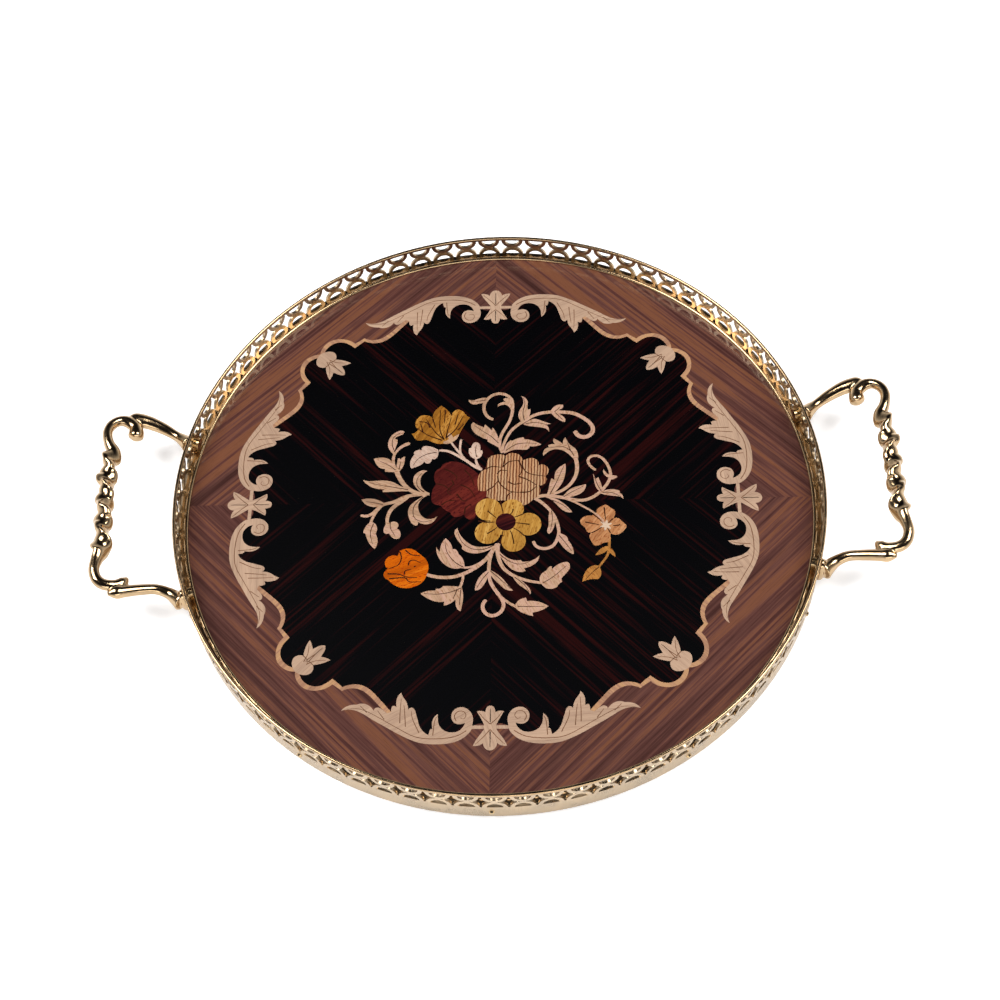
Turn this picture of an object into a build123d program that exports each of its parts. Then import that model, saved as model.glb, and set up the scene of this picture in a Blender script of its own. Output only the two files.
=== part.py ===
"""Round inlaid-wood serving tray: marquetry panel, pierced brass gallery and two cast brass handles.

Millimetres. The origin is at the centre of the underside, +Z is up and the handles lie along X.
"""

from build123d import *
from math import asin, cos, hypot, radians, sin
import os

# ---- driving dimensions ----------------------------------------------------------------------
gallery_radius = 175.7          # outside of the pierced brass wall
wall_thickness = 1.4
panel_thickness = 12.0
veneer = 0.7
lattice_height = 13.0           # brass lattice above the panel
repeats = 79                    # lattice repeats round the gallery

# ---- sizes worked out from them --------------------------------------------------------------
panel_radius = gallery_radius - wall_thickness
pitch = 360 / repeats
core_top = panel_thickness - veneer
wall_foot = 0.4                 # the gallery's lower edge hangs just clear of the table
wall_top = panel_thickness + lattice_height + 0.4
opening_low = panel_thickness + 0.1
opening_high = panel_thickness + lattice_height - 0.1
ring_outer = (opening_high - opening_low) / 2
ring_bar = 2.2                  # width of a lattice bar
waist = 3.0                     # width of the crossing where two rings meet
rail_radius = 0.9               # round wire soldered along the top of the gallery
rail_centre = gallery_radius - wall_thickness / 2
ledge_inner = 170.0             # inside of the moulding that covers the panel's edge
ledge_bead = 1.25               # radius of the bead along the moulding's inner edge
ledge_flange = 0.6
bead_lift = 0.3                 # the bead's centre above the panel
pin_height = 6.0
pin_shank = 1.2
pin_head = 3.2
pin_depth = 8.0
pin_head_height = 1.0
pin_step = 34                   # degrees between the pins of one half, five pins to a half
pin_phase = -92.9

# The handles' screws pass through lattice openings, seven repeats apart. With an odd number of
# repeats the two handles cannot be exactly opposite, so each sits a quarter repeat towards the front.
handle_angles = {"right": -pitch / 4, "left": 180 + pitch / 4}
foot_angle = 3.5 * pitch
screw_height = panel_thickness + lattice_height / 2
screw_shank = 3.0
screw_head = 6.5
screw_head_height = 2.2
screw_slot = 1.0                # width and depth of the slot
washer_radius = 5.8             # reaches the lattice's crossings on both sides of an opening
washer_thickness = 0.9
screw_bite = 4.5                # how far a screw goes into a handle's foot
thread_clearance = 0.05

# The pattern was cut and laid as one sheet, a little off the gallery's centre and handle axis.
pattern_turn = -2.28
pattern_centre = (-2.87, 0.91)


def pattern_plane(height):
    """The plane that the marquetry is drawn on."""
    turn = radians(pattern_turn)
    return Plane(origin=(*pattern_centre, height), x_dir=(cos(turn), sin(turn), 0), z_dir=(0, 0, 1))


def polar(radius, angle, height):
    return (radius * cos(radians(angle)), radius * sin(radians(angle)), height)


def radial_plane(radius, angle, height):
    """A plane that faces outwards at one place on the gallery, its y axis up."""
    turn = radians(angle)
    return Plane(
        origin=polar(radius, angle, height),
        x_dir=(-sin(turn), cos(turn), 0),
        z_dir=(cos(turn), sin(turn), 0),
    )


def outline(*runs):
    """A face inside smooth runs that meet at corners: each run starts where the last one ended."""
    start = runs[0][0]
    corner = None
    with BuildLine() as edge:
        for number, run in enumerate(runs):
            points = list(run) if corner is None else [corner, *run]
            if number == len(runs) - 1:
                points.append(start)
            if len(points) == 2:
                Line(*points)
            else:
                Spline(*points)
            corner = points[-1]
    make_face(edge.edges())


def stem(points, first, last):
    """A ribbon along a curve, its width running from first to last, with a round far end."""
    left, right = [], []
    steps = len(points) - 1
    for i, (x, y) in enumerate(points):
        ahead = points[min(i + 1, steps)]
        behind = points[max(i - 1, 0)]
        run = hypot(ahead[0] - behind[0], ahead[1] - behind[1])
        half = (first + (last - first) * i / steps) / 2
        across = ((behind[1] - ahead[1]) / run * half, (ahead[0] - behind[0]) / run * half)
        left.append((x + across[0], y + across[1]))
        right.append((x - across[0], y - across[1]))
    outline(left, [right[-1]], right[-2::-1], [])
    with Locations(points[-1]):
        Circle(last / 2)


def placed(points, quarter, flip):
    """Border ornament points: mirrored about their own axis, then turned to one side of the tray."""
    points = [(-x if flip else x, y) for x, y in points]
    for _ in range(quarter):
        points = [(y, -x) for x, y in points]
    return points


# ---- border ornament, drawn for the side beyond +Y and to its right ---------------------------
scroll_runs = (
    [(9.2, 132.7), (9.4, 134.6), (11.2, 137.4), (14.2, 139.9), (18.5, 141.8), (24, 142.7), (30, 142.7),
     (36, 141.8), (42, 139.4), (48, 136.2), (54, 132.6), (60, 129), (64.5, 126), (68.5, 124),
     (72.5, 123.3), (76.3, 124)],
    [(74.2, 121.9), (71, 120.7), (68.4, 120.6)],
    [(66.9, 120.1), (64.6, 120.1), (62, 121.3), (59.4, 124.3)],
    [(59, 122.8), (57.8, 122.3), (55.8, 123), (52.6, 125.6)],
    [(50.6, 124.8)],
    [(50.5, 122.6), (49.7, 121.4), (48.7, 121.7), (48, 122)],
    [(48.2, 119), (47.6, 116.4), (45.8, 114.2)],
    [(44.8, 116.6), (43.3, 118.8), (42.3, 121.4), (42, 123.9)],
    [(41, 122.7), (39.9, 122.6), (38.7, 123.7), (37.9, 126), (37, 129), (36, 132.4), (34.2, 135.4),
     (31.2, 137.7)],
    [(30.9, 136.2), (30.2, 134.6), (29.2, 134.4)],
    [(29.6, 131.6), (28.8, 128.4), (26.8, 126.2)],
    [(26.7, 128.4), (26.4, 131), (25.2, 133.6), (22.8, 135.6), (19.6, 136.4), (16.4, 135.8),
     (14, 133.8), (12.9, 131.2)],
    [(14.5, 131.8), (16.5, 131.9), (18.5, 130.9), (19.7, 128.7), (19.7, 126.2), (18.3, 123.8),
     (15.6, 122.6), (12.6, 123.1), (10.2, 125.1), (8.9, 128), (8.8, 130.6)],
)
strap_runs = (
    [(50.6, 124.8), (54.4, 120.4), (57.9, 116.4), (61.6, 112.6), (65.9, 109.9), (70, 109.1),
     (73.6, 109.6), (76.4, 110.6)],
    [(79, 108.2), (81.8, 105.9)],
    [(84.9, 108.3), (88, 109.8), (91.6, 110), (95, 108.7), (97.7, 106.1), (99.2, 102.8)],
    [(101.6, 101.6)],
    [(101.3, 104.3), (99.9, 107.5), (96.8, 110.8), (92.4, 112.4), (88.3, 112.3), (84.5, 111.1),
     (81.8, 109)],
    [(79, 110.9), (76.4, 112.9)],
    [(73.6, 111.7), (70.4, 111.4), (66.5, 112.5), (62.6, 115.3), (59.1, 118.9), (55.6, 122.9),
     (52.6, 125.6)],
    [],
)
palmette_half = (
    [(0, 146.3), (1.9, 145.7), (3.1, 144.2), (3.5, 142.3)],
    [(5.2, 143.4), (8.6, 143.8)],
    [(6.7, 140), (4.8, 137.3), (3, 134.6)],
    [(9.2, 134.6)],
    [(9.2, 132.7)],
    [(3, 132.7)],
    [(3.5, 131.4), (4.9, 128.6), (6.9, 125)],
    [(4.6, 124.7), (2.5, 125.5)],
    [(2.1, 123.3), (1.3, 122.2), (0, 121.9)],
    [],
)
# The tulip lies on the diagonal: this is the half nearer the +Y side.
tulip_half = (
    [(101.6, 101.6), (99, 103.1), (96, 103.6), (93.4, 102.6), (92.2, 100.2), (92.5, 97.9)],
    [(90.2, 97.6), (86.8, 96.7), (83.4, 95.1)],
    [(86.2, 93.8), (88.6, 93.2)],
    [(87.6, 91.2), (86.6, 88.6), (86.8, 86.8)],
    [],
)
# The seam between the dark field and the walnut border runs under the ornament.
seam_run = [(0, 133.6), (9.3, 133.6), (11.5, 135.6), (16, 138.2), (23, 139.6), (31, 139.8), (38, 137.2),
            (45, 132), (51, 126.4), (51.8, 124.9)]
seam_strap = [(51.8, 124.9), (55, 121.7), (58.5, 117.6), (62.1, 114), (66.2, 111.2), (70.2, 110.3),
              (73.6, 110.7), (76.4, 111.7)]
seam_steps = [(76.4, 111.7), (79, 109.6), (81.8, 107.5)]
seam_arch = [(81.8, 107.5), (84.7, 109.7), (88.1, 111), (92, 111.2), (95.9, 109.7), (98.8, 106.8),
             (100.2, 103.5), (100.9, 100.9)]


def seam(quarter):
    """One quarter of the seam, from its own axis past the diagonal to the next axis."""
    half = (seam_run, seam_strap, seam_steps, seam_arch)
    for run in half:
        yield placed(run, quarter, False)
    for run in reversed(half):
        yield placed([(y, x) for x, y in reversed(run)], quarter, False)


def field_quarter(quarter, mode=Mode.ADD):
    """The dark quarter inside the seam, with its point at the pattern's centre."""
    with BuildLine() as edge:
        for run in seam(quarter):
            Spline(*run)
        first, last = placed([seam_run[0], (seam_run[0][1], 0)], quarter, False)
        Polyline(last, (0, 0), first)
    make_face(edge.edges(), mode=mode)


# ---- bouquet ----------------------------------------------------------------------------------
def draw_carnation():
    outline(
        [(-28.3, 38.3), (-30, 38.1), (-34.4, 39.3), (-38.5, 41), (-42.8, 40.7), (-44.6, 42.4),
         (-46.2, 45.1)],
        [(-44.5, 45.9), (-42.8, 48.2)],
        [(-44.3, 50.4), (-44.4, 53), (-43.3, 55.6), (-41.6, 57.2), (-39, 57.7), (-36.4, 57), (-34.7, 55)],
        [(-34.4, 58.8), (-33, 61.4), (-30.1, 64.1)],
        [(-27.8, 62.2), (-25.8, 60), (-24.3, 56.7)],
        [(-23.2, 59.6), (-21, 61.3)],
        [(-18.4, 60.4), (-16.6, 58.4), (-13.6, 55.5)],
        [(-15.7, 52.5), (-17.4, 49.2), (-19, 45.8), (-19.7, 44.3)],
        [(-24, 41)],
        [],
    )


def draw_calyx():
    outline(
        [(-25.2, 45.5), (-26, 44.2), (-25.2, 41.4)],
        [(-26.8, 40.2), (-28.4, 39.7)],
        [(-28.3, 38.3)],
        [(-25.6, 38.2), (-22.4, 39.9), (-20.4, 42), (-19.7, 44.4)],
        [(-21.1, 43.7), (-22.9, 42.2)],
        [(-23.7, 44)],
        [],
    )


def draw_red_rose():
    outline(
        [(-28.4, 24.2), (-25.3, 25.9), (-20.7, 26.1), (-16.2, 24.3), (-12.1, 21.3), (-8.6, 18)],
        [(-2, 12)],
        [(0, -2)],
        [(-9.6, -9)],
        [(-11.6, -11.4), (-14.1, -10.8), (-15.6, -7.8)],
        [(-17.7, -9.2), (-20.8, -9.6), (-23.2, -6.8)],
        [(-26.3, -5), (-28.6, -2.2)],
        [(-31, -1.7), (-33.2, -0.4), (-34, 3.2), (-33.4, 8.1), (-31.6, 11.6)],
        [(-32.8, 15.4), (-32.2, 19.6), (-29.6, 21.9)],
        [],
    )


def draw_striped_rose():
    outline(
        [(-3.7, 3), (-3.4, 7)],
        [(-5.8, 6.6), (-8.2, 7.2)],
        [(-8.7, 12), (-8.2, 16.6), (-6.8, 19.3), (-4.4, 20.8)],
        [(-3.7, 25.2), (-1.9, 29.2), (1.8, 30.4), (5, 30.3), (6.5, 28.9)],
        [(8.1, 30.8), (11.4, 31.2), (14.4, 29.8), (15.9, 26)],
        [(18.8, 27.4), (22, 27.7), (24.2, 26.2), (24.8, 22.8)],
        [(27.5, 23.3), (29.9, 21.5), (30.2, 18), (28.6, 15.7)],
        [(29.4, 13.6), (28, 10.8), (24.7, 9.7)],
        [(25.9, 6.8), (25.2, 3.8), (22, 1.3)],
        [(19.8, -1.3), (16.6, -2.9), (12.9, -2.8), (9.8, -1.3), (7.2, 0.2), (2, 0.4), (-1.4, 1.6)],
        [],
    )


def draw_yellow_flower():
    for x, y, across, along in ((-2.6, -5.2, 7.1, 7.1), (10.4, -5.2, 6.4, 6.2), (19.3, -14.8, 7, 7.1),
                                (11.3, -25.2, 6.6, 6.7), (-2.8, -19.8, 7, 7)):
        with Locations((x, y)):
            Ellipse(across, along)
    draw_eye(8.4)


def draw_eye(radius=5.4):
    with Locations((7, -13.2)):
        Circle(radius)


def draw_orange_rose():
    outline(
        [(-49.9, -30.4), (-45.6, -29.1), (-42.4, -29.9), (-39.4, -32.3), (-36.3, -35.2), (-34.6, -38.2),
         (-34.2, -41.6), (-34.9, -45), (-36.4, -48.8), (-39.8, -51.8), (-44.6, -53.3), (-49.4, -52.7),
         (-53, -50.7), (-55.4, -48.2)],
        [(-57.6, -46.6), (-58.2, -44.6), (-57.3, -42.6), (-55.9, -41.4)],
        [(-57.7, -38.6), (-57, -35.2), (-54.2, -33.3), (-51.1, -33.7)],
        [],
    )


def draw_small_flower():
    outline(
        [(56.4, -8), (57, -5.6), (58.6, -4.4), (61.4, -3.3), (64, -5.2), (66.3, -7.3), (66, -10.4),
         (65.1, -12.2)],
        [(68, -11.9), (70.3, -14.2), (72.2, -16.7), (70.6, -19.9), (67, -22.2), (63.7, -21.3)],
        [(63.3, -24.2), (62.4, -26.6), (60, -27.1), (57.7, -28.3), (54.8, -28.6), (53.4, -26.6),
         (52.2, -23.6), (53.4, -20.5)],
        [(50.8, -19.9), (49.9, -17.6), (48, -15.6), (47.6, -12.4), (49.8, -10.5), (53.6, -10.1)],
        [],
    )


def draw_stamens():
    for turn in range(3):
        with Locations(Location((61.2, -16.2, 0), (0, 0, 20 + 60 * turn))):
            Ellipse(3.4, 0.8)
    with Locations((61.2, -16.2)):
        Circle(1.5)


def draw_amber_sprig():
    stem([(62.9, -23.5), (62.7, -27.7), (62.5, -31.1), (61.1, -35.7), (58.8, -39.1),
          (57, -41.8)], 1.5, 1.2)
    outline([(62.6, -29.4), (60, -29.6), (57, -31.9), (54.9, -34.8)], [(58.4, -34), (61, -32.4)])
    outline([(62.6, -29.8), (64.5, -31.6), (65.8, -36)], [(63.8, -34.3), (62.4, -31.8)])
    outline(
        [(56.9, -41.3), (53.7, -41.1), (50.8, -43.1), (48.8, -46.6), (47.9, -50.9)],
        [(51, -49.6), (56, -49.4)],
        [(57.6, -47.6), (58, -44.8)],
    )


def draw_upper_left_spray():
    stem([(-30.5, 33.7), (-25.3, 33), (-20.2, 30.2), (-15.1, 26.6), (-10.1, 22.6), (-7.2, 21.1)], 1.4, 2)
    stem([(-24.2, 39.2), (-21.7, 35.6), (-19, 31.7), (-16.4, 28.3)], 1.1, 1.4)
    stem([(-16.6, 28.6), (-18.6, 32.4), (-18.9, 36), (-18.4, 40.3)], 1.1, 1.3)
    stem([(-8, 22), (-9.4, 24.8), (-9.9, 28.6)], 1.9, 1.1)
    outline(
        [(-9.9, 27.8), (-12.5, 29), (-13.8, 31.6), (-13.8, 34.8)],
        [(-12.5, 35.2)],
        [(-12, 37.4), (-10.8, 38.7), (-9, 38.6), (-7.9, 37.2), (-7.7, 33.4)],
        [(-6.4, 33.4)],
        [(-6.4, 31), (-7.5, 28.8)],
    )
    outline(
        [(-31, 34.2), (-33.4, 35.6), (-36.4, 36.7), (-39.2, 36.6), (-40.4, 35.1)],
        [(-40.2, 34.1)],
        [(-42.8, 34.1), (-44.5, 32.8), (-44.3, 31.3)],
        [(-45.7, 28.9), (-46.5, 26.2), (-46.3, 23.4), (-45.6, 22)],
        [(-43, 23.1), (-40.4, 24.5), (-38.6, 26.6)],
        [(-37.6, 25.4), (-36, 25.3), (-34.9, 26.4), (-34.4, 28.2)],
        [(-32.9, 28), (-31.4, 29.5), (-30.9, 31.8)],
    )


def draw_left_spray():
    stem([(-36.6, 5.1), (-42.5, 6.3), (-47.1, 9.1), (-50.4, 13.2), (-52.6, 17.2), (-53.9, 21)], 2.2, 2.8)
    stem([(-36.6, 5.1), (-44, 4.7), (-50, 2.9), (-55, 0.3), (-60, -1.1), (-63.6, -4.2), (-67.6, -7.8),
          (-71.6, -8)], 2.2, 1.7)
    stem([(-47, 4), (-52.4, -0.8), (-55.7, -4.3), (-57.4, -8.4), (-57.5, -13.4)], 2.6, 1.8)
    stem([(-61.6, -2.6), (-64.8, -7.4), (-66.7, -13)], 1.5, 1.5)
    stem([(-54, 21), (-55.8, 25), (-55.9, 29.4), (-55.2, 32.6)], 2.2, 1.4)
    stem([(-55.3, 31.6), (-53.7, 34.5), (-51.1, 37), (-48, 38.6)], 1.3, 2.1)
    outline(
        [(-35.2, 4.3), (-38.2, 5.5), (-40.4, 7), (-42.9, 10), (-44.3, 13.2), (-44.1, 16.4),
         (-42.4, 19.1), (-39.6, 20.7), (-36.8, 20.2)],
        [(-38.8, 18.5), (-40.1, 16.2), (-40.4, 13.2), (-39.7, 10.2), (-38, 7.8), (-35, 5.9)],
        [],
    )
    outline(
        [(-66.9, 28.9), (-63.3, 29.6), (-59.7, 29.1), (-57.2, 27.3), (-56, 24.2), (-53.2, 22)],
        [(-52.8, 20.2)],
        [(-56.7, 19.9), (-60.3, 20.3)],
        [(-60.4, 22.2)],
        [(-62.8, 22.6), (-65.2, 25)],
    )
    outline(
        [(-54, 20.6), (-53.9, 24.6), (-53.4, 28.9)],
        [(-52.5, 28.9), (-51.9, 27.4)],
        [(-51.2, 29.2), (-49.5, 30)],
        [(-49.6, 27.4), (-50, 24.6), (-51.2, 21.8), (-52.4, 20.2)],
        [],
    )
    outline(
        [(-55.7, 31.2), (-57.8, 33.8), (-59.2, 36.8), (-59.1, 40.6), (-57.6, 44.2), (-54.8, 46.6),
         (-52.1, 47.5), (-50.5, 46.6)],
        [(-51.6, 44.8), (-54.1, 43.7), (-55.6, 42)],
        [(-54.2, 41.6)],
        [(-54.4, 38.4), (-55.2, 35.4), (-54.9, 32.2)],
        [],
    )
    outline(
        [(-72.4, 15.2), (-68.3, 14.2), (-63.3, 14.5), (-58.2, 14.2), (-54.7, 12.9), (-51.4, 10.8),
         (-47, 9.4)],
        [(-44.6, 7.1)],
        [(-49.6, 7.3), (-55.2, 7.1), (-60.8, 6.9)],
        [(-61.1, 7.9)],
        [(-59.7, 8.6)],
        [(-63.3, 9), (-67.8, 10.6), (-70.4, 12.6)],
    )
    outline(
        [(-72.4, 2.3), (-68.3, 2.9), (-64.8, 2.4), (-60.4, 0.2)],
        [(-59, -1)],
        [(-62.2, -2.4), (-65.8, -2.5), (-69.9, -0.8)],
    )
    outline(
        [(-66.6, -12), (-69.1, -14.7), (-70.4, -18.8)],
        [(-69.1, -19.3)],
        [(-67.9, -23.3), (-65.9, -26.8), (-63.7, -29)],
        [(-62.4, -25.8), (-62.6, -22.2), (-63.7, -19.4)],
        [(-63, -17.4), (-63.6, -14.1)],
    )
    outline(
        [(-57.6, -12), (-59, -15.2), (-59.2, -18.6), (-57.7, -19.8)],
        [(-56.2, -19.4)],
        [(-54.7, -21.8), (-52.6, -23), (-50.6, -22.4), (-50, -19.8), (-50.9, -17.4), (-52.4, -16.2)],
        [(-51.4, -14.9), (-52.1, -12.8), (-54.2, -12), (-56, -12.8)],
        [],
    )
    outline(
        [(-38.3, 4.4), (-42.5, 1), (-45.5, -2.2), (-46.5, -6.1), (-45.7, -10.1), (-43.9, -13.6),
         (-41.8, -14.9)],
        [(-40.8, -13.8), (-41.2, -12.2)],
        [(-38.4, -13.7), (-34.6, -13.8), (-32, -12), (-30.4, -9.1)],
        [(-32.8, -10.4), (-36, -10.6), (-39, -8.5), (-40.7, -5.1), (-41, -1.5), (-39.4, 1.8),
         (-35.8, 4.4)],
        [],
    )


def draw_top_spray():
    stem([(4.9, 31.5), (3.3, 36.5), (3.5, 41), (5.3, 46.1), (8.2, 51.7), (9.8, 56.7), (10.4, 61.8),
          (10.1, 66.2), (8.3, 69.4), (5.3, 71.3), (1.7, 71.6), (-1.8, 70.2), (-4.5, 67.2), (-5.9, 63.3),
          (-5.6, 59.8), (-4, 56.4), (-1.3, 54.4)], 1.7, 1.9)
    stem([(5, 32), (5.1, 35.5), (6.3, 39.5), (8.3, 44.1), (11.3, 48.1), (14.9, 51.2), (17.9, 53.2),
          (20.4, 55.1), (24.5, 57.2), (29.1, 58.2), (34.1, 58.5), (39.2, 58.2), (44.3, 57.4),
          (49.8, 54.4), (53.7, 50.7), (55.4, 46.6), (54.4, 43.3), (51.3, 41.3), (47.9, 41.8),
          (45.7, 44.4)], 1.5, 2.6)
    outline(
        [(9.6, 58.4), (8.8, 61.6), (7, 63.6), (4.6, 63.9), (2, 62.6)],
        [(2.6, 64.8), (4.8, 65.8), (6.3, 66)],
        [(4.9, 67.6)],
        [(6.6, 68.6), (8.8, 67.6), (10.8, 64)],
        [],
    )
    outline(
        [(-3.6, 68.6), (-5, 65.9), (-8.4, 65.1), (-12, 64.6), (-13.8, 65.6), (-14.6, 67.9)],
        [(-12.4, 67.4), (-9, 68.4), (-6.4, 69)],
    )
    outline(
        [(4.2, 35), (3.2, 38.6), (2.4, 41.8), (1.1, 45.2), (-0.8, 48.6)],
        [(-1.5, 46.6)],
        [(-3.2, 48.8), (-5.2, 50.8)],
        [(-5.6, 48.8)],
        [(-8.7, 50.2), (-11.7, 52.4)],
        [(-12.9, 50.6), (-12.3, 47.3), (-10.6, 44.7), (-8.2, 43)],
        [(-5.9, 41.4), (-3.6, 40.6)],
        [(-3.6, 39.3)],
        [(-0.8, 37.4), (3.6, 34.4)],
        [],
    )
    outline(
        [(5.6, 31), (6.3, 35.4), (7.7, 38.2), (9.6, 39.9)],
        [(10, 39.3)],
        [(12.6, 40.7), (16.6, 41.6)],
        [(17, 40.4)],
        [(20.4, 39.8), (23.5, 38.5), (26.5, 36.7)],
        [(23.5, 35.6), (20, 35.6)],
        [(18.9, 33.7), (15.4, 33.4), (11.3, 33.4), (7.8, 32)],
    )
    outline(
        [(16.4, 51.4), (14.1, 54.2), (13.6, 57.3), (14.4, 60.3), (16, 63.3), (16.4, 66.4), (15.1, 69.9)],
        [(17.5, 68.4), (18.9, 65.9), (18.7, 62.8), (19, 60.4)],
        [(20.4, 60.9)],
        [(20.4, 58.6), (19.6, 55.7), (17.9, 52.7)],
    )
    outline(
        [(16.2, 50.6), (18.9, 52.4), (22, 53.9), (26, 53), (32.1, 50.6)],
        [(29.4, 49.9)],
        [(30.7, 47.6), (30.8, 44.8)],
        [(29.4, 47), (26.5, 48.1), (21.5, 48.9), (17.4, 49.9)],
    )
    outline(
        [(31.6, 58.6), (33.1, 61.3), (36.7, 63.4), (38.8, 63), (38.8, 61.6), (36.7, 59.8), (35.9, 58.2)],
        [(37.6, 56.4), (39.7, 54.2), (39.8, 51.5)],
        [(35.6, 53.7), (33.4, 55.9)],
    )


def draw_right_spray():
    stem([(27, 3.1), (34.6, 4.8), (40.2, 8.1), (44.2, 13.2), (46, 18.8), (46, 24.3),
          (44.6, 29.4)], 1.5, 2.4)
    stem([(22.6, 1.5), (26.7, 3), (33.6, 2.6), (39.9, 1.3), (45, 0.1), (49.6, -0.1), (53.6, 1.3),
          (57.7, 4.2), (61, 8), (63.4, 12), (64.5, 16.4), (63.6, 21), (61.4, 25.4), (57.6, 28.5),
          (54.1, 28.2), (52.3, 25.9), (52.9, 23), (55.9, 19.6)], 2, 1.5)
    stem([(33, 2.6), (39.9, 0.9), (45.1, -1.6), (50.8, -5.2), (55.4, -8.6), (60.4, -14.6)], 1.3, 1)
    stem([(22.6, 1.5), (26.7, -1.4), (30.3, -5.3), (33.5, -10.4), (35.3, -16.2), (35.7, -20.8),
          (34.6, -25), (32.3, -28.6), (28.4, -30.2), (24.5, -29.4), (22.2, -26.3)], 1.8, 1.8)
    outline(
        [(46.9, 27.4), (46.4, 31.4), (45.6, 33.2), (42.7, 36), (41, 38.5), (40, 41.3)],
        [(38.8, 39.4), (38.6, 36.6)],
        [(36.2, 38.8), (33.4, 40.5)],
        [(33.1, 38.8), (34.4, 36.6)],
        [(32.4, 36.8), (30.2, 35.9)],
        [(30.8, 34.6)],
        [(28.9, 33.9), (27.6, 32), (27.6, 29.1)],
        [(29.1, 30.6), (31.1, 32.3), (34.1, 33.3), (37.7, 32.8), (40.7, 30.9), (43.6, 27.6)],
        [],
    )
    outline(
        [(28.6, 2.8), (30.4, 7.6), (31.3, 12.2), (32.1, 14.2)],
        [(33.6, 13.2)],
        [(33.7, 15.9), (34.5, 18.8), (36.7, 21.7), (39.8, 23.7)],
        [(39.9, 19.8), (39.2, 15.2), (37.6, 10.7), (35.2, 7.1), (32.4, 3.6)],
        [],
    )
    outline(
        [(37.5, 1.6), (39.7, 4.6), (42.7, 7.4), (46.8, 9), (50.9, 10.2)],
        [(50.3, 7.1), (47.8, 4.2), (44.3, 2.6), (41, 1.4)],
        [],
    )
    outline(
        [(64, 13.8), (61.8, 15.2), (60.6, 17.2), (60.7, 19.6)],
        [(62.2, 17.4), (64.4, 15.4)],
        [(66.6, 15.5), (68.4, 14.7)],
        [(66.5, 13.3), (64.4, 12.9)],
        [],
    )
    outline(
        [(59.2, 4.8), (56.8, 7.2), (55.6, 10.9), (54.8, 17.2)],
        [(56.3, 13.4)],
        [(57.7, 14.6)],
        [(59, 10.8), (60, 6.4)],
        [],
    )
    outline(
        [(59.2, 5.2), (62.3, 6.3), (66.3, 6.5), (69.2, 5.5)],
        [(69.2, 4.3)],
        [(70.7, 2.6), (71, 0.2)],
        [(69.2, 1.8), (66.3, 2.3), (62.8, 2.8), (58.6, 4)],
        [],
    )
    outline(
        [(28.6, 2), (33.6, 1.3), (37.6, -1.2), (41.1, -4.6), (43.2, -7.6)],
        [(40.4, -7.6), (37.4, -5.8), (34.6, -2.6)],
    )
    outline(
        [(31.4, -5.4), (30.4, -8.6), (30.2, -12), (30.1, -16.2), (29.5, -20.2), (30.4, -21.2)],
        [(32.3, -19), (33.7, -14), (34.4, -11)],
        [],
    )
    outline(
        [(35.2, -20.4), (37.6, -21.3), (39.9, -23), (40.6, -25.3)],
        [(42.7, -28.8), (43.6, -34)],
        [(39.9, -31.7), (37, -28.2), (34.8, -24.4)],
        [],
    )


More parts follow.
